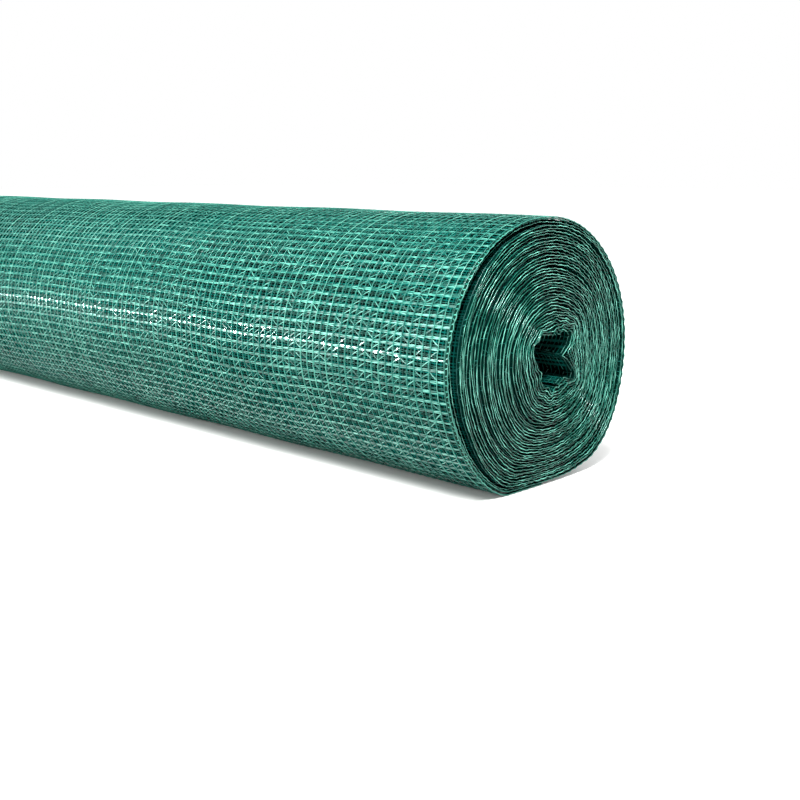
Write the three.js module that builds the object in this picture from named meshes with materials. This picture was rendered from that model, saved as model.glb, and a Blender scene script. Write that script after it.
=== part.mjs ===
// Roll of knitted shade netting, lying on its side: one wound body, with the crumpled mouth of
// a coreless roll at each end. Millimetres. X runs along the roll, with the uneven, telescoped
// end at +X. Z is up. The origin is on the surface it lies on, under the middle of its box.
import * as THREE from "three";

// Driving dimensions
const ROLL_LENGTH = 1000; // width of the net, so the length of the roll
const AXIS_HEIGHT = 113.1; // centre of the turns above the surface, settled onto a flat spot
const MOUTH_Y = 8; // the hole through the middle sits a little behind the centre of the turns
const MOUTH_Z = 3;
const INNER_STAND_OUT = 8; // the inner turns have slid along, past the outer wrap's edge at +X
const WRAP_GROOVE = 3; // the turns just inside the outer wrap have slid the other way
const MOUTH_RADIUS = 25; // the hole away from its crumpled ends
const CRUMPLE_LENGTH = 90; // how far in from an end the crumple of the mouth dies away
const FAR_MOUTH_TURN = 150; // degrees that the far end's folds are turned by
const FAR_MOUTH_SHARE = 0.6; // and how deep they are beside the near end's
const SWELL = 0.4; // slow rise and fall of the outside along the length
const SWELL_WAVES = 4.5;

// Facets
const AROUND = 96;
const ALONG_OUTSIDE = 16;
const ALONG_MOUTH = 14;

// The outside, seen from +X: degrees from +Y over the top, and the distance from the centre
// of the turns. It is round above, slack below, and the flat spot cuts it off underneath.
const OUTSIDE = [
  { deg: 30, r: 130.9 },
  { deg: 62, r: 130.3 },
  { deg: 90, r: 129.2 },
  { deg: 144, r: 130.2 },
  { deg: 180, r: 128.6 },
  { deg: 204, r: 125.2 },
  { deg: 238, r: 125.0 },
  { deg: 249, r: 122.6 },
  { deg: 268, r: 115.0 },
  { deg: 278, r: 114.1 },
  { deg: 290, r: 117.3 },
  { deg: 300, r: 121.9 },
  { deg: 309, r: 127.9 },
  { deg: 326, r: 131.9 },
  { deg: 350, r: 130.2 },
];

// The mouth at +X, from its own centre: a row for each fold that stands in and each pocket
// between two folds.
const MOUTH = [
  { deg: 16, r: 14.5 },
  { deg: 44, r: 34.0 },
  { deg: 62, r: 25.5 },
  { deg: 91, r: 22.7 },
  { deg: 116, r: 24.8 },
  { deg: 140, r: 31.0 },
  { deg: 162, r: 33.0 },
  { deg: 184, r: 25.0 },
  { deg: 206, r: 21.3 },
  { deg: 231, r: 25.6 },
  { deg: 262, r: 26.0 },
  { deg: 292, r: 21.8 },
  { deg: 312, r: 27.5 },
  { deg: 329, r: 36.5 },
  { deg: 345, r: 24.0 },
];

// The end faces, from the outer wrap (share 1) in to the mouth (share 0): how far the turns
// there have slid along +X, so they stand out at one end and are drawn in at the other.
const FACE = [
  { share: 0.965, slide: 0 },
  { share: 0.935, slide: -WRAP_GROOVE },
  { share: 0.885, slide: 0.15 * INNER_STAND_OUT },
  { share: 0.68, slide: 0.3 * INNER_STAND_OUT },
  { share: 0.44, slide: 0.62 * INNER_STAND_OUT },
  { share: 0.2, slide: 0.9 * INNER_STAND_OUT },
];

// A smooth closed curve through a table's radii, at any angle in degrees.
function radiusAt(table, deg) {
  const n = table.length;
  const turn = ((deg - table[0].deg) % 360 + 360) % 360 + table[0].deg;
  let i = n - 1;
  while (table[i].deg > turn) i -= 1;
  const row = (k) => {
    const wrapped = table[((k % n) + n) % n];
    return { deg: wrapped.deg + 360 * Math.floor(k / n), r: wrapped.r };
  };
  const [a, b, c, d] = [row(i - 1), row(i), row(i + 1), row(i + 2)];
  const span = c.deg - b.deg;
  const u = (turn - b.deg) / span;
  const slopeB = ((c.r - a.r) / (c.deg - a.deg)) * span;
  const slopeC = ((d.r - b.r) / (d.deg - b.deg)) * span;
  const [u2, u3] = [u * u, u * u * u];
  return (
    (2 * u3 - 3 * u2 + 1) * b.r +
    (u3 - 2 * u2 + u) * slopeB +
    (3 * u2 - 2 * u3) * c.r +
    (u3 - u2) * slopeC
  );
}

const smooth = (u) => u * u * (3 - 2 * u);
const clamp01 = (u) => Math.min(1, Math.max(0, u));

// Distance of the outside from the centre of the turns, cut off flat where the roll rests.
function outsideRadius(deg, x) {
  const swell = SWELL * Math.cos((2 * Math.PI * SWELL_WAVES * x) / ROLL_LENGTH);
  const down = -Math.sin(THREE.MathUtils.degToRad(deg));
  const free = radiusAt(OUTSIDE, deg) + swell;
  return down > 0 ? Math.min(free, AXIS_HEIGHT / down) : free;
}

// Distance of the mouth's wall from its own centre: folded at both ends, nearly round between.
function mouthRadius(deg, x) {
  const fromNear = clamp01((ROLL_LENGTH / 2 - x) / CRUMPLE_LENGTH);
  const fromFar = clamp01((x + ROLL_LENGTH / 2) / CRUMPLE_LENGTH);
  const near = radiusAt(MOUTH, deg) - MOUTH_RADIUS;
  const far = (radiusAt(MOUTH, deg - FAR_MOUTH_TURN) - MOUTH_RADIUS) * FAR_MOUTH_SHARE;
  return MOUTH_RADIUS + near * (1 - smooth(fromNear)) + far * (1 - smooth(fromFar));
}

// One ring of points at x, a share of the way from the mouth (0) to the outside (1).
function ring(x, share) {
  const points = [];
  for (let k = 0; k < AROUND; k += 1) {
    const deg = (360 * k) / AROUND;
    const angle = THREE.MathUtils.degToRad(deg);
    const at = THREE.MathUtils.clamp(x, -ROLL_LENGTH / 2, ROLL_LENGTH / 2);
    const inner = mouthRadius(deg, at);
    const outer = outsideRadius(deg, at);
    const y = (r, centre) => centre + r * Math.cos(angle);
    const z = (r, centre) => AXIS_HEIGHT + centre + r * Math.sin(angle);
    points.push([
      x,
      THREE.MathUtils.lerp(y(inner, MOUTH_Y), y(outer, 0), share),
      THREE.MathUtils.lerp(z(inner, MOUTH_Z), z(outer, 0), share),
    ]);
  }
  return points;
}

// The rings in order: along the outside, in over the +X face, back through the mouth and
// out over the -X face.
function sectionRings() {
  const half = ROLL_LENGTH / 2;
  const rings = [];
  for (let k = 0; k <= ALONG_OUTSIDE; k += 1)
    rings.push(ring(-half + (ROLL_LENGTH * k) / ALONG_OUTSIDE, 1));
  for (const { share, slide } of FACE) rings.push(ring(half + slide, share));
  const nearMouth = half + INNER_STAND_OUT;
  const farMouth = -half + INNER_STAND_OUT;
  for (let k = 0; k <= ALONG_MOUTH; k += 1) {
    // more rings near the ends, where the folds are
    const u = 0.5 - 0.5 * Math.cos((Math.PI * k) / ALONG_MOUTH);
    rings.push(ring(THREE.MathUtils.lerp(nearMouth, farMouth, u), 0));
  }
  for (const { share, slide } of [...FACE].reverse())
    rings.push(ring(-half + slide, share));
  return rings;
}

// A closed skin over rings that follow one another round the section and join up again.
function closedLoft(rings) {
  const positions = rings.flat(2);
  const index = [];
  rings.forEach((points, j) => {
    const next = (j + 1) % rings.length;
    points.forEach((_, k) => {
      const right = (k + 1) % AROUND;
      const [a, b] = [j * AROUND + k, j * AROUND + right];
      const [c, d] = [next * AROUND + right, next * AROUND + k];
      index.push(a, b, c, a, c, d);
    });
  });
  const geometry = new THREE.BufferGeometry();
  geometry.setAttribute("position", new THREE.Float32BufferAttribute(positions, 3));
  geometry.setIndex(index);
  geometry.computeVertexNormals();
  return geometry;
}

// Moves a geometry so that the middle of its box is over the origin, without lifting it.
function centreOverOrigin(geometry) {
  geometry.computeBoundingBox();
  const middle = geometry.boundingBox.getCenter(new THREE.Vector3());
  return geometry.translate(-middle.x, -middle.y, 0);
}

const greenTape = new THREE.MeshStandardMaterial({
  color: 0x1f7f68, // deep bluish green polyethylene tape
  roughness: 0.42,
  metalness: 0,
});

const roll = new THREE.Mesh(centreOverOrigin(closedLoft(sectionRings())), greenTape);
roll.name = "roll";

const shadeNetRoll = new THREE.Group();
shadeNetRoll.add(roll);

export default shadeNetRoll;
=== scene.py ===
# %% [markdown]
# A roll of knitted shade netting, lying on its side.
# The real thing is one long length of green polyethylene net, a metre wide, wound up without
# a core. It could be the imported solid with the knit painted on, but then nothing would show
# through the holes, and the ends would have no loose edges. So it is made in the same order as
# at the mill: the net is laid out flat as chains and tapes, and one function then winds any
# point of the flat net up into the roll.
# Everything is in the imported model's own frame, in metres, but sizes are written in mm.

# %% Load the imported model
import math

import bpy
import numpy as np
from mathutils import Matrix, Vector


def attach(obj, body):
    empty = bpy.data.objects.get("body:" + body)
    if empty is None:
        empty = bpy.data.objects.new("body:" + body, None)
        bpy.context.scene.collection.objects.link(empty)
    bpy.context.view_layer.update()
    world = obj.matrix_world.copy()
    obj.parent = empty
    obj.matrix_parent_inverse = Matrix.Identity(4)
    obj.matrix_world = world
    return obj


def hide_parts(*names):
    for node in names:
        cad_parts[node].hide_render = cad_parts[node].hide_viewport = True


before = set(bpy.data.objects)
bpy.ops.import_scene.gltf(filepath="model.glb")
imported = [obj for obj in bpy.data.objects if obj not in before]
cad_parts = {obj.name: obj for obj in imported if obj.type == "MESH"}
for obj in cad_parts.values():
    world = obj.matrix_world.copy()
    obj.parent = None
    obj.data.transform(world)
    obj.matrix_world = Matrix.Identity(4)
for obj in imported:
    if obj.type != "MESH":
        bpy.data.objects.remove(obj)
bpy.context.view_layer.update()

MM = 0.001

# %% [markdown]
# Sizes of the net. A knitting machine with three needles to the inch sets the chains 8.47 mm
# apart. A course is one stitch along a chain; the tapes between two chains are laid in once
# each course. The net is a metre wide and more than 19 m long, which gives some 40 turns. These
# few sizes drive everything below, so the knit stays the same wherever it shows.

# %% Sizes of the net and the roll, in mm
WALE = 25.4 / 3  # from one chain to the next
COURSE = 9.1
NET_WIDTH = 1000.0
EDGE_STRIP = 3.7  # from the last chain of the mesh out to the chain that closes the edge
WALES = int((NET_WIDTH - 2 * EDGE_STRIP) // WALE)
TURNS = 40
END_DEG = 274.0  # the loose outer end lies under the roll, on its flat spot
AXIS_HEIGHT = 113.1  # the centre of the turns above the floor
MOUTH_Y, MOUTH_Z = 8.0, 3.0  # the centre of the hole, from the centre of the turns
MOUTH_RADIUS = 25.0
ROUND = 130.9  # the outside where nothing presses on it
SKIN = 0.7  # the outermost turn lies this far inside the outline
print("chains across the net:", WALES + 1)

# %% [markdown]
# The section of the roll, seen from the +X end, in degrees from +Y over the top. The outside is
# a settled circle with a flat spot below. The mouth is what is left of the hole when the soft
# inner turns fall in and fold. A cloth simulation could find such shapes, but never this roll's
# own. So each is a short table of radii, joined by a smooth closed curve.

# %% The outline of the roll and of its mouth
OUTSIDE = [  # degrees, radius
    (30, 130.9), (62, 130.3), (90, 129.2), (144, 130.2), (180, 128.6), (204, 125.2), (238, 125.0),
    (249, 122.6), (268, 115.0), (278, 114.1), (290, 117.3), (300, 121.9), (309, 127.9),
    (326, 131.9), (350, 130.2),
]
MOUTH = [  # degrees, radius from the mouth's own centre
    (16, 14.5), (44, 34.0), (62, 25.5), (91, 22.7), (116, 24.8), (140, 31.0), (162, 33.0),
    (184, 25.0), (206, 21.3), (231, 25.6), (262, 26.0), (292, 21.8), (312, 27.5),
    (329, 36.5), (345, 24.0),
]


def around(table, deg):
    """Radius at any angle, on a smooth closed curve through the rows of a table."""
    at, r = np.array(table, float).T
    at = np.concatenate([at[-2:] - 360, at, at[:3] + 360])
    r = np.concatenate([r[-2:], r, r[:3]])
    slope = (r[2:] - r[:-2]) / (at[2:] - at[:-2])
    deg = (np.asarray(deg, float) - at[2]) % 360 + at[2]
    i = np.clip(np.searchsorted(at, deg, side="right") - 1, 2, len(at) - 4)
    span = at[i + 1] - at[i]
    u = (deg - at[i]) / span
    return (
        (2 * u**3 - 3 * u**2 + 1) * r[i]
        + (u**3 - 2 * u**2 + u) * slope[i - 1] * span
        + (3 * u**2 - 2 * u**3) * r[i + 1]
        + (u**3 - u**2) * slope[i] * span
    )


print("outside at 0, 90 and 180 degrees, mm:", around(OUTSIDE, [0, 90, 180]).round(1))

# %% [markdown]
# Along the roll the section changes. Outside it swells and sinks a little, and the mouth's folds
# are deepest at the two ends. A copy of the section every few mm could say so, but two rules do:
# a slow wave, and a fade that dies away from each end.

# %% How the section changes along the roll
SWELL, SWELL_WAVES = 0.4, 4.5
CRUMPLE_LENGTH = 90.0  # how far in from an end the mouth's folds die away
FAR_MOUTH_TURN = 150.0  # the far mouth is the near one, turned by so many degrees
FAR_MOUTH_SHARE = 0.6  # and with folds this deep beside the near one's
LEAST_DOWN = 0.1  # the flat spot only cuts where the outside faces down by more than this


def ease(u):
    """From 0 to 1 with a soft start and a soft stop, and flat outside that."""
    u = np.clip(u, 0, 1)
    return u * u * (3 - 2 * u)


def outside(deg, x):
    """Distance of the outside from the middle of the turns, cut off where the roll rests."""
    free = around(OUTSIDE, deg) + SWELL * np.cos(2 * np.pi * SWELL_WAVES * x / NET_WIDTH)
    down = np.maximum(-np.sin(np.radians(deg)), LEAST_DOWN)
    return np.minimum(free, AXIS_HEIGHT / down)


def crumple(deg, x):
    """How far the mouth's folds stand out or in: deepest at the two ends."""
    near = 1 - ease((NET_WIDTH / 2 - x) / CRUMPLE_LENGTH)
    far = 1 - ease((NET_WIDTH / 2 + x) / CRUMPLE_LENGTH)
    return (around(MOUTH, deg) - MOUTH_RADIUS) * near + FAR_MOUTH_SHARE * far * (
        around(MOUTH, deg - FAR_MOUTH_TURN) - MOUTH_RADIUS
    )


print("flat spot, mm from the centre:", float(outside(270, 0).round(1)))

# %% [markdown]
# No hand-wound roll is even. Some turns lie loose, so a dark gap opens between them over part of
# the way round. Plain noise would open gaps anywhere and of any length, so each one is a row of
# a table. It pushes the turns inside it in, each a little less than the one before.

# %% Loose turns
SLACK = [  # after this many turns from the outside, at this angle, gap, spread in degrees
    (1, 190, 1.9, 50), (1, 55, -1.4, 50), (3, 188, 2.4, 50), (4, 20, 2.0, 40), (6, 352, 2.6, 34),
    (9, 214, 2.0, 30), (12, 10, 2.4, 26), (15, 186, 2.6, 30), (17, 80, 1.8, 24),
    (19, 345, 2.2, 30), (22, 150, 2.0, 26), (24, 10, 2.2, 30), (27, 200, 2.4, 34),
    (30, 60, 1.6, 30),
]
SLACK_FADE = 9.0  # turns
TIGHT = 0.1  # away from the ends only this share of the gaps is left
LOOSE_FROM, LOOSE_OVER = 230, 250  # they open from here along the roll, and over this length


def off_centre(deg, centre):
    """Degrees from a centre, the short way round."""
    return (deg - centre + 180) % 360 - 180


def gap_push(t, deg, x):
    """How far in the gaps outside it push the net at t turns from its inner end."""
    push = np.zeros_like(t)
    for after, centre, gap, spread in SLACK:
        away = off_centre(deg, centre)
        first = ((END_DEG - centre) % 360) / 360
        over = np.round(TURNS - (t - away / 360) - first)
        fade = np.exp(-np.maximum(over - after, 0) / SLACK_FADE)
        push += np.where(over >= after, gap * np.exp(-((away / spread) ** 2)) * fade, 0)
    return push * (TIGHT + (1 - TIGHT) * ease((np.abs(x) - LOOSE_FROM) / LOOSE_OVER))


print("gaps between turns:", len(SLACK))

# %% [markdown]
# Turns also slide along the roll while it is handled, so their edges stand out or hide, and the
# end is no flat disc. This could be one slope, but real turns slide in groups, so a table holds
# the groups, and one more row draws in the turns just inside the outer wrap, on the side where
# the photo shows a dark groove. On top of that every turn wanders, by waves that never repeat.

# %% Turns that have slid along, and the wander of every turn
SLIDE = [  # turns from the outside, how far they have slid towards +X
    (0.0, 0.0), (2.7, 0.4), (3.0, 2.2), (4.4, 2.0), (6.0, 0.6),
    (8.0, 2.6), (11.5, 2.2), (12.2, 0.6), (13.0, 3.4), (17.0, 3.8), (18.6, 3.0), (21.0, 4.8),
    (25.0, 5.4), (26.5, 4.4), (28.0, 6.6), (34.0, 7.2), (40.0, 8.0),
]
GROOVE = (1.12, 2.8, 5.0, 160, 84)  # from turn, to turn, how far back, at this angle, spread
GROOVE_STEP = 0.3  # turns over which it starts and stops
GROOVE_FROM, GROOVE_OVER = 455, 40  # it only shows near the end, and grows over this length
PHASE = 9.7  # sets the waves apart


def slide_of(t, deg, x):
    """How far along the roll the net has slid at t turns from its inner end."""
    under = TURNS - t
    first, last, back, centre, spread = GROOVE
    begins = ease((under - first + GROOVE_STEP / 2) / GROOVE_STEP)
    stops = ease((last + GROOVE_STEP / 2 - under) / GROOVE_STEP)
    here = np.exp(-((off_centre(deg, centre) / spread) ** 2))
    drawn_in = back * (begins * stops) * here * ease((x - GROOVE_FROM) / GROOVE_OVER)
    return np.interp(under, *np.array(SLIDE).T) - drawn_in


def wander(t, size, waves):
    """A few waves round the roll that never meet again from turn to turn."""
    return size * sum(np.sin(2 * np.pi * w * t + PHASE * w) / len(waves) for w in waves)


print("innermost turn stands out, mm:", SLIDE[-1][1])

# %% [markdown]
# The innermost turns hold nothing up, so they curl. Beside the large folds of the mouth they
# have small ones, a few mm across. They could be drawn one by one, but they only show as a
# crinkled line, so three waves that don't fit each other make them.

# %% Small folds round the mouth
RIPPLE, RIPPLE_REACH = 1.9, 12.0  # how high they are, and how far out through the turns they go
RIPPLE_WAVES = ((11, 2.2, 1.0), (17, 0.4, 0.7), (7, 5, 0.5))  # folds round, start, share
RIPPLE_PEAK = 1.5  # about what the waves add up to
RIPPLE_UNEVEN, RIPPLE_AT = 0.6, 1.5  # they are higher on two sides, at this many radians


def ripple(deg, x):
    """Small folds round the mouth, which die away along the roll like the large ones."""
    at_end = 1 - ease((NET_WIDTH / 2 - np.abs(x)) / CRUMPLE_LENGTH)
    turn = np.radians(deg)
    waves = sum(part * np.sin(folds * turn + start) for folds, start, part in RIPPLE_WAVES)
    uneven = 1 + RIPPLE_UNEVEN * np.cos(2 * (turn - RIPPLE_AT))
    return RIPPLE * at_end * uneven * waves / RIPPLE_PEAK


ripple_heights = ripple(np.arange(360), NET_WIDTH / 2)
print("highest small fold, mm:", float(ripple_heights.max().round(1)))

# %% [markdown]
# Winding up. place() puts one point of the net, given by its number of turns from the inner end,
# onto the roll. A Blender spiral with a screw modifier could wind a strip too, but it couldn't
# follow a flat spot, folds, gaps and slid turns. Here each of these adds its own few mm.

# %% From a number of turns to a place on the roll
MIDDLE_X, MIDDLE_Y = 2.5, 0.7  # what brings the middle of the roll's box over the origin
ROUNDING = 1.9  # turns further in are rounder than the outside, by this power
FOLD_REACH = 17.0  # how far out through the turns the large folds go
BOWING = 2.5  # inner turns bow along the roll, so no gap between two of them is seen through
FLAP, FLAP_AT, FLAP_SPREAD = 5.0, 0.26, 0.09  # the loose inner end hangs in, at these turns
GAPS_FROM = 0.25  # gaps are full from this share of the way out
WANDER, WANDER_WAVES = 1.1, (2.31, 3.83, 6.17, 9.71, 17.3, 26.9)
STEADY = 20  # the outer wrap lies steady: the wander grows over 1/20 of the way in
SLIP, SLIP_WAVES = 1.3, (0.37, 1.73, 2.91, 5.3)
SLIP_TURNS = 2  # and the slip over this many turns
KEPT_TURNS = 5  # so many turns keep nearly to the outline
STEP_FROM, STEP_OVER = 0.93, 0.07  # the part of a turn where they step out over the loose end
FLOOR_GAP = 0.3  # no strand's middle lies lower than this


def share_of(t):
    """How far out a turn lies, from the mouth (0) to the outside (1).

    The last turns keep to the outline, and step out where they pass over the loose end.
    """
    under = TURNS - t
    whole = np.floor(under)
    part = under - whole
    kept = part * np.exp(-whole / KEPT_TURNS) * (1 - ease((part - STEP_FROM) / STEP_OVER))
    return 1 - (under - kept) / TURNS


def place(t, x, lift=0.0):
    """The net at t turns from its inner end, x across its width, lift off its outer side."""
    t, x, lift = (np.asarray(v, float) for v in np.broadcast_arrays(t, x, lift))
    deg = END_DEG - 360 * (TURNS - t)
    share = share_of(t)
    r = MOUTH_RADIUS * (1 - share) + (ROUND - SKIN) * share
    r = r + (outside(deg, x) - ROUND) * share**ROUNDING
    from_mouth = share * (ROUND - MOUTH_RADIUS)
    r = r + crumple(deg, x) * np.exp(-from_mouth / FOLD_REACH)
    r = r + ripple(deg, x) * np.exp(-from_mouth / RIPPLE_REACH)
    r = r + BOWING * np.sin(2 * np.pi * x / NET_WIDTH) * (4 * share * (1 - share)) ** 2
    r = r - FLAP * np.exp(-(((t - FLAP_AT) / FLAP_SPREAD) ** 2))
    r = r - gap_push(t, deg, x) * ease(share / GAPS_FROM)
    r = r + wander(t, WANDER, WANDER_WAVES) * ease((1 - share) * STEADY) + lift
    angle = np.radians(deg)
    slide = slide_of(t, deg, x) + wander(t, SLIP, SLIP_WAVES) * ease((TURNS - t) / SLIP_TURNS)
    y = MOUTH_Y * (1 - share) + r * np.cos(angle)
    z = AXIS_HEIGHT + MOUTH_Z * (1 - share) + r * np.sin(angle)
    return np.stack([x + slide - MIDDLE_X, y - MIDDLE_Y, np.maximum(z, FLOOR_GAP)], -1) * MM


print("loose outer end, m:", place(TURNS, 0.0).round(4))

# %% [markdown]
# Stitches keep their length from the first turn to the last, though the turns grow. Stitches
# counted in degrees would stretch, so the net is measured once along its turns, and wind() takes
# mm along the flat net by that table. It also bows the courses, which are never quite square to
# the edge.

# %% Winding a flat net into the roll
STEPS_A_TURN = 180
BOWS = ((1.6, 88, 310), (0.9, 41, -173))  # how far, and mm across and along for one radian
BOW_ENDS = 80  # at the loose end the courses straighten over this length

turn_at = np.linspace(0, TURNS, TURNS * STEPS_A_TURN + 1)
steps = np.diff(place(turn_at, 0.0), axis=0) / MM
length_at = np.concatenate([[0], np.cumsum(np.linalg.norm(steps, axis=1))])
NET_LENGTH = float(length_at[-1])
print("net length, m:", round(NET_LENGTH * MM, 2), "courses:", int(NET_LENGTH // COURSE))


def wind(along, x, lift=0.0):
    """Rolls up points of the flat net: mm along it from the inner end, mm across, mm off it."""
    bow = sum(size * np.sin(x / wide + along / long) for size, wide, long in BOWS)
    bow = bow * ease((NET_LENGTH - along) / BOW_ENDS)
    return place(np.interp(along + bow, length_at, turn_at), x, lift)


def along_at(turns_from_outside):
    """Millimetres along the net at so many turns in from its outer end."""
    return float(np.interp(TURNS - turns_from_outside, turn_at, length_at))


# %% [markdown]
# The camera comes before the pieces, at the photo's own angle: 44 degrees round to the roll's
# end, 11.5 above the level, with a lens near 52 mm. It could track a target, but a few mm of
# shift would spoil the match, so it is placed from the middle of the end that is seen.

# %% Camera
AZIMUTH, ELEVATION = math.radians(44.04), math.radians(11.53)
LENS, SENSOR = 51.68, 36
LEFTWARD, DOWNWARD, BACKWARD = 0.1283, 0.0331, 1.0217  # from the end's middle, metres


def make_camera():
    """The camera, turned by its own three axes."""
    back = Vector((
        math.sin(AZIMUTH) * math.cos(ELEVATION),
        -math.cos(AZIMUTH) * math.cos(ELEVATION),
        math.sin(ELEVATION),
    ))
    right = Vector((math.cos(AZIMUTH), math.sin(AZIMUTH), 0))
    up = back.cross(right)
    end = Vector((NET_WIDTH / 2 - MIDDLE_X, -MIDDLE_Y, AXIS_HEIGHT)) * MM
    at = end - LEFTWARD * right - DOWNWARD * up + BACKWARD * back
    data = bpy.data.cameras.new("camera")
    data.lens, data.sensor_width = LENS, SENSOR
    camera = bpy.data.objects.new("camera", data)
    camera.matrix_world = Matrix.Translation(at) @ Matrix((right, up, back)).transposed().to_4x4()
    bpy.context.scene.collection.objects.link(camera)
    bpy.context.scene.camera = camera
    print("camera at, m:", [round(c, 3) for c in at])


make_camera()

# %% [markdown]
# Meshes from grids. A chain is a thin tube and a tape is a narrow ribbon. Bevelled curves could
# make them, but there are tens of thousands, and Blender is slow with so many objects. Both are
# a small grid of points of the flat net, so many along and so many across, so grid_mesh() winds
# thousands of such grids at once and joins them into one mesh. Each point also keeps its place
# on the flat net, for the patterns, and the tone of its strand.

# %% From flat grids to one mesh
built = []


def grid_mesh(name, along, across, lift, closed=False, tone=None):
    """One mesh of many grids. Each array is (grids, points along, points across)."""
    along, across, lift = np.broadcast_arrays(along, across, lift)
    many, rows, columns = along.shape
    points = wind(along, across, lift).reshape(-1, 3)
    i, j = np.meshgrid(np.arange(rows - 1), np.arange(columns - (not closed)), indexing="ij")
    i, j = i.ravel(), j.ravel()
    k = (j + 1) % columns
    this_row, next_row = i * columns, (i + 1) * columns
    quad = np.stack([this_row + j, next_row + j, next_row + k, this_row + k], -1)
    quads = (quad[None] + np.arange(many)[:, None, None] * rows * columns).reshape(-1, 4)
    mesh = bpy.data.meshes.new(name)
    mesh.from_pydata(points, [], quads)
    mesh.shade_smooth()
    flat = np.stack([along, across, lift], -1).reshape(-1, 3) * MM
    mesh.attributes.new("flat", "FLOAT_VECTOR", "POINT").data.foreach_set(
        "vector", np.ascontiguousarray(flat, np.float32).ravel()
    )
    if tone is not None:
        each = np.repeat(np.asarray(tone, np.float32), rows * columns)
        mesh.attributes.new("tone", "FLOAT", "POINT").data.foreach_set("value", each)
    piece = bpy.data.objects.new(name, mesh)
    bpy.context.scene.collection.objects.link(piece)
    built.append(piece)
    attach(piece, "root")
    print(f"{name}: {2 * len(quads)} triangles")
    return piece


rng = np.random.default_rng(7)  # seeded, so that every run gives the same roll

# %% [markdown]
# Chains. Each needle knits its own chain the whole length of the net. A chain is a row of
# slipped loops. Every loop could be modelled, but it is half a millimetre wide and wouldn't
# show. What shows is that a chain is thick and thin by turns and leans a little to each side in
# turn, so it is one tube with two rings a stitch that do just that.

# %% Chains
CHAIN = 0.52  # radius
LOOP_THICK, LOOP_THIN = 1.12, 0.78  # times the radius
LEAN, EDGE_LEAN = 0.42, 0.15  # mm to each side, on a chain and on an edge chain
LEAN_RANGE, RISE_RANGE = (0.6, 1.3), (0.7, 1.1)  # times this much, from ring to ring
PLAIN_TONE = 0.55  # of a chain on its own, from dark (0) to pale (1)


def chains(name, wales, first, last, sides=4, edge=0.0, radius=CHAIN, half=COURSE / 2):
    """Chains at these places across the net, between two distances along it."""
    count = int((last - first) / half) + 1
    start = math.ceil(first / half)
    ring = start + np.arange(count)
    even = ring % 2 == 0
    along = ring * half
    wales = np.asarray(wales, float)
    lean = (EDGE_LEAN if edge else LEAN) * (-1.0) ** ring
    x = wales[:, None] + lean[None, :] * rng.uniform(*LEAN_RANGE, (len(wales), count))
    thick = radius * np.where(even, LOOP_THICK, LOOP_THIN)
    rise = edge * np.where(even, 1, -1) * rng.uniform(*RISE_RANGE, x.shape)
    turn = np.pi - 2 * np.pi * np.arange(sides) / sides
    across = x[:, :, None] + thick[None, :, None] * np.cos(turn)
    up = rise[:, :, None] + thick[None, :, None] * np.sin(turn)
    tone = rng.uniform(0, 1, len(wales)) if len(wales) > 1 else [PLAIN_TONE]
    grid_mesh(name, along[None, :, None], across, up, closed=True, tone=tone)


LAP = 0.02  # a wrap is this much more than one turn, so that its two ends lap
wale_places = (np.arange(WALES + 1) - WALES / 2) * WALE
edge_place = wale_places[-1] + EDGE_STRIP
outer_from, outer_to = along_at(1 + LAP), along_at(0.0)
chains("outer_chains", wale_places, outer_from, outer_to)

# %% [markdown]
# Tapes. Between two chains the net is closed by flat tapes slit from film. Every course lays in a
# pair: in one course they run side by side and a little down, in the next they open like a fan.
# In most meshes one more tape climbs from a course to the next. A picture of them on a sheet
# would shine all at once, but real tapes glint one by one. So each is a ribbon of its own, with
# its own small tilt and sag.

# %% Tapes
TAPE_NARROW, TAPE_WIDE = 0.9, 1.15
WIDE_BY = 1.4  # it widens over the first 1/1.4 of its length
WIDTH_RANGE = (0.85, 1.1)  # times this much, from tape to tape
PINCH_OVER, PINCH_WIDTH, PINCH_DEPTH = 0.2, 0.35, 0.4  # where a chain grips it: over, by, down
STRAY = 0.2  # how far its ends stray along the chain
TILT, SAG, SAG_SPREAD = 0.03, 0.05, 0.08  # how unevenly it lies, and how far it sags
LAID = [  # where each of the pair leaves one chain and meets the next, mm along the net
    ((0.65, 0.45), (-0.60, -0.95)),
    ((0.40, 0.80), (-0.45, -0.80)),
]
CROSSING = [  # the same for the tape that climbs from one course to the next
    ((7.8, 0.8),),
    ((6.9, 1.4),),
    ((7.4, 2.4),),
    ((1.2, 7.2),),
]


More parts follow.
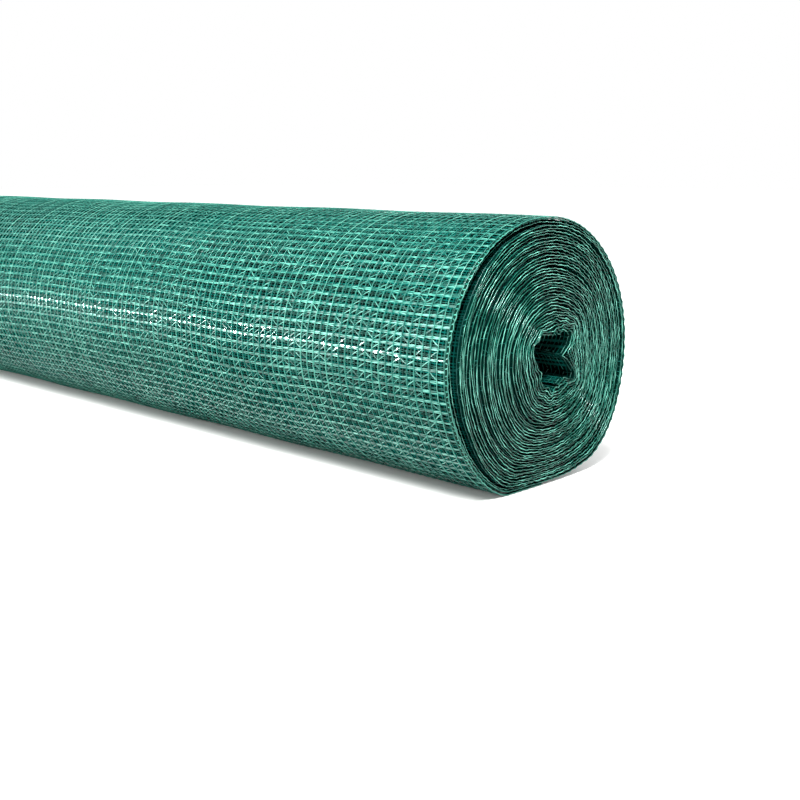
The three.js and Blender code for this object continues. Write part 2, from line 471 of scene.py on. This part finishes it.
def tapes(name, wales, first, last, stations=(0, 0.5, 1), spread=1.0, laid=LAID, share=1.0):
    """Tapes between neighbouring chains, in a share of the meshes from first to last.

    The pair's two rows take turns from course to course, and a crossing tape's row is drawn.
    """
    course = np.arange(math.ceil(first / COURSE), int(last / COURSE))
    wales = np.asarray(wales, float)
    cell_x, cell_course = (g.ravel() for g in np.meshgrid(wales[:-1], course, indexing="ij"))
    cell_w = np.repeat(np.diff(wales), len(course))
    kept = rng.random(len(cell_x)) < share
    cell_x, cell_course, cell_w = cell_x[kept], cell_course[kept], cell_w[kept]
    many = len(cell_x)
    row = cell_course % len(laid) if laid is LAID else rng.integers(len(laid), size=many)
    kind = np.array(laid)[row]
    u = np.array(stations, float)[None, None, :]
    v = np.array([-1.0, 1.0])[None, :, None]
    pinch = 1 - ease(np.minimum(u, 1 - u) / PINCH_OVER)
    widening = TAPE_NARROW + (TAPE_WIDE - TAPE_NARROW) * ease(u * WIDE_BY)
    half_width = widening / 2 * (1 - PINCH_WIDTH * pinch)
    on_course = (cell_course * COURSE)[:, None, None]
    grids = []
    for which in range(kind.shape[1]):
        ends_at = (kind[:, which] + rng.normal(0, STRAY, (many, 2))) * spread
        begin, end = (ends_at[:, n, None, None] + on_course for n in (0, 1))
        width = half_width * rng.uniform(*WIDTH_RANGE, many)[:, None, None]
        tilt = rng.normal(0, TILT, many)[:, None, None]
        sag = rng.normal(SAG, SAG_SPREAD, many)[:, None, None] * 4 * u * (1 - u)
        along = begin * (1 - u) + end * u + v * width
        x = cell_x[:, None, None] + cell_w[:, None, None] * u
        up = sag - PINCH_DEPTH * pinch + tilt * v * width
        grids.append(np.broadcast_arrays(along, x, up))
    along, x, up = (np.concatenate([g[n] for g in grids]) for n in range(3))
    grid_mesh(name, along, x, up, tone=rng.uniform(0, 1, len(along)))


EDGE_SPREAD = 0.7  # in the last mesh at each end the pair lies closer together
CROSSED = 0.7  # the share of meshes with a crossing tape
tapes("outer_tapes", wale_places[1:-1], outer_from, outer_to, (0, 0.2, 0.5, 0.8, 1))
for side, pair in (("near", wale_places[-2:]), ("far", wale_places[:2])):
    tapes(f"outer_tapes_{side}", pair, outer_from, outer_to, spread=EDGE_SPREAD)
tapes("outer_crossing_tapes", wale_places[1:-1], outer_from, outer_to, laid=CROSSING, share=CROSSED)

# %% [markdown]
# The next turn. Through the holes of the outer wrap the turn beneath it shows, with the same knit
# at its own place. A painted sheet would look flat so close behind the holes, so this turn is
# strands too. It needs fewer points, because little of it is seen.

# %% The turn under the outer wrap
second_from = along_at(2 + LAP)
chains("second_deep_chains", wale_places, second_from, outer_from, sides=3)
tapes("second_deep_tapes", wale_places, second_from, outer_from, (0, 1))

# %% [markdown]
# The ends. Each turn shows its edge there: one more chain, close outside the last one of the
# mesh and laced to it twice a course, and what is seen of the first meshes behind it. Forty
# plain rings would be quicker, but the same chains and tapes as on the outside give each edge
# its beads and glints. The innermost turns have rings twice as close, which keeps their curls
# smooth, and in the mouth one sees further in, so there the strands go on for 30 chains.

# %% The edges of all the turns
EDGE_WALES = 3  # chains behind each edge
MOUTH_WALES = 30  # as far in as one sees into the mouth
LACED = 3.6  # the lacing at the edge is spread this much further apart than the tapes
EDGE_CHAIN, EDGE_WAVER = 0.4, 0.3  # radius of an edge chain, and how far it rises and falls
CURLED_TURNS = 8  # the innermost ones
MOUTH_TURNS = 1.3  # as much of the net as shows inside the mouth
# The dark strip is painted shade, seen through the holes at the outer wrap's edge.
STRIP_DEPTH = 0.2  # of the dark strip under the outer wrap's lacing


def ends():
    """The edge chains, lacing and first meshes of every turn, at both ends."""
    inner = (0, second_from)
    outer = (second_from, outer_to)
    curled = along_at(TURNS - CURLED_TURNS)
    mouth = (0, along_at(TURNS - MOUTH_TURNS))
    strip_along = np.arange(outer[0], outer[1], COURSE / 2)
    fine = {"edge": EDGE_WAVER, "radius": EDGE_CHAIN}
    for side, sign in (("near", 1), ("far", -1)):
        places = np.sort(sign * wale_places[-EDGE_WALES:])
        inside = np.sort(sign * wale_places[-MOUTH_WALES:])
        strip = np.sort(sign * np.array([wale_places[-1], edge_place]))
        edge = [sign * edge_place]
        chains(f"{side}_edges", edge, curled, second_from, **fine)
        chains(f"{side}_mouth_edges", edge, 0, curled, half=COURSE / 4, **fine)
        chains(f"{side}_inner_chains", places, *inner, sides=3, edge=EDGE_WAVER)
        tapes(f"{side}_edge_tapes", places[1:] if sign > 0 else places[:-1], *inner, (0, 1))
        tapes(f"{side}_edge_lacing", strip, *inner, (0, 1), spread=LACED)
        chains(f"outer_edge_chains_{side}", edge, *outer)
        chains(f"mouth_chains_{side}", inside, *mouth, sides=3)
        tapes(f"mouth_tapes_{side}", inside, *mouth)
        # A near black strip of painted shade under the outer wrap's lacing.
        grid_mesh(
            f"outer_strip_{side}", strip_along[None, :, None], strip[None, None, :], -STRIP_DEPTH
        )
        tapes(f"outer_lacing_{side}", strip, *outer, spread=LACED)


ends()

# %% [markdown]
# All the turns. The whole net is also one thin sheet, wound from the inner end up to the outer
# wrap. Strands all the way through would be millions of triangles that nobody sees, so the sheet
# has the knit painted on it. It fills the roll, darkens the gaps between the edges, both by
# shutting out light and by the painted shade of its dark colours, and is what shows deep in the
# mouth. It is also the piece that takes the imported solid's place.

# %% The wound sheet
FROM_EDGE = np.array([1, 4, 10, 26, 52, 88])  # its rows lie closer near the ends, at the folds
BETWEEN = np.linspace(-400, 400, 19)
PER_TURN = 60
SHEET_DEPTH, SHEET_DEEPER = 0.3, 0.7  # how far it lies inside the strands, and the last turns

across_sheet = np.concatenate([FROM_EDGE - edge_place, BETWEEN, edge_place - FROM_EDGE[::-1]])
sheet_turns = np.linspace(0, TURNS - 1.0, (TURNS - 1) * PER_TURN + 1)
sheet_along = np.interp(sheet_turns, turn_at, length_at)
under_net = -SHEET_DEPTH - SHEET_DEEPER * ease(sheet_turns - (TURNS - 3))
sheet = grid_mesh(
    "wound_net", sheet_along[None, :, None], across_sheet[None, None, :], under_net[None, :, None]
)

# %% [markdown]
# Materials are graphs of nodes. They could be drawn in the shader editor, but a script has to
# make them again each time, so two helpers come first: one turns a hex colour, as in any paint
# program, to the linear values of a shader, and one adds a node and fills its inputs.

# %% Helpers for materials
def linear(hex_colour):
    """An sRGB hex colour as the linear red, green, blue and alpha that a shader takes."""
    parts = [int(hex_colour[i : i + 2], 16) / 255 for i in (1, 3, 5)]
    return [c / 12.92 if c <= 0.04045 else ((c + 0.055) / 1.055) ** 2.4 for c in parts] + [1]


def node(tree, kind, inputs=None, **settings):
    """Adds a node with its settings. Each input, by name or number, takes a value or a link."""
    made = tree.nodes.new(kind)
    for key, value in settings.items():
        setattr(made, key, value)
    for key, value in (inputs or {}).items():
        if isinstance(value, bpy.types.NodeSocket):
            tree.links.new(value, made.inputs[key])
        else:
            made.inputs[key].default_value = value
    return made


def new_material(name):
    """An empty material and its node tree."""
    material = bpy.data.materials.new(name)
    material.use_nodes = True
    material.node_tree.nodes.clear()
    return material, material.node_tree


print("mid green of the tape, linear:", [round(c, 3) for c in linear("#1d6f62")[:3]])

# %% [markdown]
# The net is high density polyethylene: blown film, slit into tape and stretched. That leaves it
# smooth, waxy and half gloss, with an index of refraction of 1.54. It could be plain green
# plastic, but three more things make it look like stretched film. A thin coat gives sharp glints
# over the softer shine of the wax, and the shine is a little green. Some light goes on through
# the tape, so it glows where a lamp is behind it. And each strand has its own tone, which also
# changes along it.

# %% Polyethylene, slit and stretched
POLYETHYLENE_IOR = 1.54
COAT_ROUGHNESS = 0.08
# The film's own streaks are finer than 0.1 mm and wouldn't show, so the noise is as coarse as a
# stitch or more, in mm. It moves the tone by up to 0.8 each way.
TONE_DEPTH = 1.6


def stretched_tape(kind, made, tones, shine, roughness, coat, through, streak):
    """Slit or knitted tape, in three tones from dark to pale, written one after another."""
    material, tree = new_material(f"{made}_polyethylene_{kind}")
    tone = node(tree, "ShaderNodeAttribute", attribute_name="tone").outputs["Fac"]
    flat = node(tree, "ShaderNodeAttribute", attribute_name="flat").outputs["Vector"]
    fine = {"Vector": flat, "Scale": 1 / (streak * MM), "Detail": 1.0}
    streaks = node(tree, "ShaderNodeTexNoise", fine).outputs["Fac"]
    sums = {0: streaks, 1: TONE_DEPTH, 2: tone}
    uneven = node(tree, "ShaderNodeMath", sums, operation="MULTIPLY_ADD").outputs[0]
    halved = {0: uneven, 1: TONE_DEPTH / 2}
    centred = node(tree, "ShaderNodeMath", halved, operation="SUBTRACT").outputs[0]
    ramp = node(tree, "ShaderNodeValToRGB", {"Fac": centred})
    ramp.color_ramp.elements.new(0.5)
    for stop, at, each in zip(ramp.color_ramp.elements, (0, 0.5, 1), tones.split()):
        stop.position, stop.color = at, linear(each)
    colour = ramp.outputs["Color"]
    film = {
        "Base Color": colour,
        "Roughness": roughness,
        "IOR": POLYETHYLENE_IOR,
        "Specular Tint": linear(shine),
        "Coat Weight": coat,
        "Coat Roughness": COAT_ROUGHNESS,
    }
    gloss = node(tree, "ShaderNodeBsdfPrincipled", film).outputs[0]
    glow = node(tree, "ShaderNodeBsdfTranslucent", {"Color": colour}).outputs[0]
    both = node(tree, "ShaderNodeMixShader", {"Fac": through, 1: gloss, 2: glow}).outputs[0]
    node(tree, "ShaderNodeOutputMaterial", {"Surface": both})
    return material


# %% [markdown]
# The same tape meets the eye in different ways: flat or twisted, in the light or in the shade of
# the next turn. One finish for all would do on a clean sheet, but here it would lose the rings
# of the end and the depth behind the holes. So each way gets a row of its own, with its tones
# from dark to pale. Where a strand lies in the shade, that shade is painted into its tones.

# %% Finishes of the strands, and the shade painted into some of them
FINISHES_AND_SHADE = {  # how it is made, tones, tint of its shine, roughness, coat, light through, streak
    # flat tape on the outside: broad, bluish white glints
    "tapes": ("slit", "#0c4940 #1d6f62 #559f8f", "#d6fff4", 0.34, 0.75, 0.2, 9),
    # bunched and twisted in the knit: duller, with small soft lights
    "chains": ("knitted", "#12594e #297a6b #539c8a", "#e4fbf8", 0.42, 0.3, 0.2, 9),
    # the edge of every turn, which draws the rings of the end: deep green, darker than the
    # chains outside as painted shade, and paler in streaks as painted glints, beside the sharp
    # glints of its coat
    "edges": ("knitted", "#053c33 #106856 #84e2cb", "#c8fff2", 0.24, 1.0, 0.2, 14),
    # behind these, in the shade between two turns: dark with painted shade, so that the rings stand
    # apart
    "inner_chains": ("knitted", "#03332d #07443d #0e5951", "#e4fbf8", 0.42, 0.1, 0.2, 9),
    "edge_tapes": ("slit", "#03332d #07443d #0e5951", "#e4fbf8", 0.42, 0.1, 0.2, 9),
    # the lacing comes out to the edge, so its painted shade is a little lighter
    "edge_lacing": ("slit", "#043c35 #0a5048 #18746a", "#e4fbf8", 0.42, 0.3, 0.2, 9),
    # the outer wrap's own edge: a near black strip of painted shade between its strands, and a
    # clean mid green on them
    "outer_strip": ("slit", "#011a14 #011a14 #011a14", "#0b6b58", 0.7, 0.0, 0.0, 9),
    "outer_lacing": ("slit", "#0f6a5a #1d806c #40a48c", "#e4fbf8", 0.4, 0.3, 0.2, 9),
    # the turn beneath, in the shade of the outer one: that shade is painted into its darker tones,
    # and no coat, so no glints
    "deep_tapes": ("slit", "#07463c #0c584c #1b6f61", "#e4fbf8", 0.6, 0.0, 0.2, 9),
    "deep_chains": ("knitted", "#083d35 #105348 #1e6b5d", "#e4fbf8", 0.6, 0.0, 0.2, 9),
}
finishes_and_shade = {kind: stretched_tape(kind, *row) for kind, row in FINISHES_AND_SHADE.items()}
print("finishes of the strands:", ", ".join(finishes_and_shade))

# %% [markdown]
# The wound sheet stands for net that is only seen in the shade: deep in the mouth and between the
# edges. An image of the knit would do, but a formula of the flat net's own millimetres never
# blurs and needs no file. Its chains and courses have their real distances, and its lines are a
# little wider than the strands, because finer ones would be lost in the dark. The shade is
# painted on it: its knit is dark, the gaps between its lines near black, and close to its edge,
# where the turns shade each other, it is painted darker still. It is polyethylene too, but so
# much in the shade that it has no shine.

# %% The painted knit, with painted shade in its gaps and at its edge
CHAIN_LINE, TAPE_LINE = 0.6, 0.7  # half the width of a line, mm
SOFT_FROM = 0.7  # a line fades from this share of that
PAIR = 1.4  # each tape of a pair lies this far off the middle between two courses
# Near its edge the sheet is painted darker, as painted shade between the turns.
USUAL_AT, DARK_AT = 9, 4  # mm in from the edge: the knit as usual, and quite dark
WOUND_ROUGHNESS = 0.6


def lines(tree, source, period, at, half_width):
    """1 on the lines this far off to both sides of each step of a period, 0 between, in mm."""
    folded = {0: source, 1: period * MM / 2}
    fold = node(tree, "ShaderNodeMath", folded, operation="PINGPONG").outputs[0]
    off = node(tree, "ShaderNodeMath", {0: fold, 1: at * MM}, operation="SUBTRACT").outputs[0]
    away = node(tree, "ShaderNodeMath", {0: off}, operation="ABSOLUTE").outputs[0]
    soft, out = SOFT_FROM * half_width * MM, half_width * MM
    shown = {"Value": away, "From Min": soft, "From Max": out, "To Min": 1.0, "To Max": 0.0}
    return node(tree, "ShaderNodeMapRange", shown).outputs[0]


def painted_knit_and_shade(name, gap, knit, edge):
    """Chains and pairs of tapes over the painted shade of the gaps, and an edge of darker painted
    shade.
    """
    material, tree = new_material(name)
    flat = node(tree, "ShaderNodeAttribute", attribute_name="flat").outputs["Vector"]
    apart = node(tree, "ShaderNodeSeparateXYZ", {"Vector": flat})
    along, across = apart.outputs["X"], apart.outputs["Y"]
    chain = lines(tree, across, WALE, 0, CHAIN_LINE)
    pair = lines(tree, along, COURSE, COURSE / 2 - PAIR, TAPE_LINE)
    either = node(tree, "ShaderNodeMath", {0: chain, 1: pair}, operation="MAXIMUM").outputs[0]
    laid = {"Factor": either, 6: linear(gap), 7: linear(knit)}
    painted = node(tree, "ShaderNodeMix", laid, data_type="RGBA").outputs[2]
    from_middle = node(tree, "ShaderNodeMath", {0: across}, operation="ABSOLUTE").outputs[0]
    usual, dark = (edge_place - USUAL_AT) * MM, (edge_place - DARK_AT) * MM
    rim = {"Value": from_middle, "From Min": usual, "From Max": dark}
    near_edge = node(tree, "ShaderNodeMapRange", rim).outputs[0]
    shaded = {"Factor": near_edge, 6: painted, 7: linear(edge)}
    colour = node(tree, "ShaderNodeMix", shaded, data_type="RGBA").outputs[2]
    dull = {
        "Base Color": colour,
        "Roughness": WOUND_ROUGHNESS,
        "IOR": POLYETHYLENE_IOR,
        "Specular IOR Level": 0.0,
    }
    surface = node(tree, "ShaderNodeBsdfPrincipled", dull).outputs[0]
    node(tree, "ShaderNodeOutputMaterial", {"Surface": surface})
    return material


# The sheet's colours are painted shade: near black gaps, a dark knit, and a darker edge.
finishes_and_shade["wound_net"] = painted_knit_and_shade("wound_polyethylene_net", "#000d0a", "#0d524a", "#021f1a")
print("finish of the sheet:", finishes_and_shade["wound_net"].name)

# %% [markdown]
# Each piece now gets its finish, with any painted shade in it: of the finishes that its name
# holds, the one with the longest name. A list of pairs would do the same, but the names already
# say what a piece is.

# %% Finishes and painted shade onto pieces, and the imported roll hidden
for piece in built:
    kind = max((k for k in finishes_and_shade if k in piece.name), key=len)
    piece.data.materials.append(finishes_and_shade[kind])

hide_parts("roll")

# %% [markdown]
# The floor is matt white paper, as in a small photo studio, with uncoated fibres and so hardly
# any shine. Under the lights alone it would turn grey far off and hold wide shadows. Stronger
# lights would mend that and spoil the roll, so the paper glows a little instead: more and more
# with distance, to the right of the near end, and in a narrow band along the front of the roll,
# where it only thins the edge of the shadow.

# %% Floor
FLOOR_HALF = 12.0  # metres
RIGHTWARD = (0.72, 0.69, 0)  # a fixed direction on the floor, to the right in the photo
FLOOR_GLOW = [  # metres from, metres to, glow there and glow there
    (0.6, 2.0, 0.0, 1.0),  # by the distance from the middle
    (0.34, 0.45, 0.0, 0.65),  # by how far to the right, beside the near end
    (-0.064, -0.09, 0.0, 0.36),  # in front of the roll the band comes in
    (-0.1, -0.13, 0.36, 0.0),  # and goes out
]


def matt_paper(name, colour, roughness=0.9):
    """White paper with a glow by its place on the floor."""
    material, tree = new_material(name)
    place_at = node(tree, "ShaderNodeNewGeometry").outputs["Position"]
    apart = node(tree, "ShaderNodeSeparateXYZ", {"Vector": place_at})
    distance = node(tree, "ShaderNodeVectorMath", {0: place_at}, operation="LENGTH")
    along_right = {0: place_at, 1: RIGHTWARD}
    rightward = node(tree, "ShaderNodeVectorMath", along_right, operation="DOT_PRODUCT")
    measures = [distance.outputs["Value"], rightward.outputs["Value"]] + [apart.outputs["Y"]] * 2
    glows = []
    for measure, row in zip(measures, FLOOR_GLOW):
        limits = dict(zip(("From Min", "From Max", "To Min", "To Max"), row))
        glows.append(node(tree, "ShaderNodeMapRange", {"Value": measure, **limits}).outputs[0])
    far, beside, comes_in, goes_out = glows
    band = {0: comes_in, 1: goes_out}
    in_front = node(tree, "ShaderNodeMath", band, operation="MINIMUM").outputs[0]
    around_it = node(tree, "ShaderNodeMath", {0: far, 1: beside}, operation="MAXIMUM").outputs[0]
    both = {0: around_it, 1: in_front}
    glow = node(tree, "ShaderNodeMath", both, operation="MAXIMUM").outputs[0]
    paper = {
        "Base Color": linear(colour),
        "Roughness": roughness,
        "Emission Color": linear("#ffffff"),
        "Emission Strength": glow,
    }
    surface = node(tree, "ShaderNodeBsdfPrincipled", paper).outputs[0]
    node(tree, "ShaderNodeOutputMaterial", {"Surface": surface})
    return material


def make_floor():
    """One large square under the roll."""
    corners = [(-1, -1), (1, -1), (1, 1), (-1, 1)]
    mesh = bpy.data.meshes.new("floor")
    mesh.from_pydata([(x * FLOOR_HALF, y * FLOOR_HALF, 0) for x, y in corners], [], [range(4)])
    floor = bpy.data.objects.new("floor", mesh)
    bpy.context.scene.collection.objects.link(floor)
    mesh.materials.append(matt_paper("matt_paper", "#cacac8"))
    print("floor, m across:", 2 * FLOOR_HALF)


make_floor()

# %% [markdown]
# The light. A photo studio has large soft boxes and a white surround. A single picture of such a
# studio could light it all, but each box here has one job that shows on the roll, and can be
# moved by itself. The surround has one strength where it is seen and a lower one where it
# lights, so the background stays white while the gaps stay dark.

# %% Surround and lights
SEEN, LIGHTING = 1.0, 0.3
LOW_MIDDLE = (0.2, 0, 0.12)
LIGHTS = [  # name, where it stands and what it faces in metres, its size, its power in watts
    # broad and soft, for the whole front
    ("soft_box", (-1.0, -1.9, 1.15), LOW_MIDDLE, (1.3, 1.0), 15),
    # the pale band along the front of the roll
    ("low_box", (-0.5, -2.4, 0.75), LOW_MIDDLE, (2.0, 1.2), 35),
    # a thin strip near the floor: the row of white glints below that band
    ("glint_strip", (-1.35, -1.9, 0.11), LOW_MIDDLE, (1.2, 0.03), 42),
    # overhead, for the upper side
    ("front_box", (0.35, -0.95, 2.15), (0.35, -0.05, 0.1), (1.2, 1.2), 53),
    # from above the near end: the pale sides of its rings
    ("edge_light", (1.1, -0.8, 1.8), (0.5, 0, 0.12), (0.5, 1.0), 50),
    # small and beside it: a fan of sharper glints across the rings
    ("fan_light", (1.05, -0.75, 1.6), (0.5, 0, 0.15), (0.3, 0.3), 36),
    # from behind, so that the far side isn't lost
    ("back_box", (0.9, 1.5, 1.3), (0.45, 0, 0.1), (1.0, 1.0), 12),
]


def make_surround(seen, lighting):
    """A white surround, with one strength where it is seen and another where it lights."""
    world = bpy.data.worlds.new("surround")
    world.use_nodes = True
    tree = world.node_tree
    tree.nodes.clear()
    direct = node(tree, "ShaderNodeLightPath").outputs["Is Camera Ray"]
    by_path = {"Factor": direct, "A": lighting, "B": seen}
    strength = node(tree, "ShaderNodeMix", by_path).outputs[0]
    white = {"Color": linear("#ffffff"), "Strength": strength}
    surface = node(tree, "ShaderNodeBackground", white).outputs[0]
    node(tree, "ShaderNodeOutputWorld", {"Surface": surface})
    bpy.context.scene.world = world


def area_light(name, at, towards, size, power):
    """A soft box that stands at one place and faces another."""
    data = bpy.data.lights.new(name, "AREA")
    data.shape, data.size, data.size_y, data.energy = "RECTANGLE", size[0], size[1], power
    light = bpy.data.objects.new(name, data)
    light.location = at
    light.rotation_euler = (Vector(at) - Vector(towards)).to_track_quat("Z", "Y").to_euler()
    bpy.context.scene.collection.objects.link(light)


make_surround(SEEN, LIGHTING)
for row in LIGHTS:
    area_light(*row)
bpy.context.scene.view_settings.view_transform = "Standard"
print("lights:", ", ".join(row[0] for row in LIGHTS))
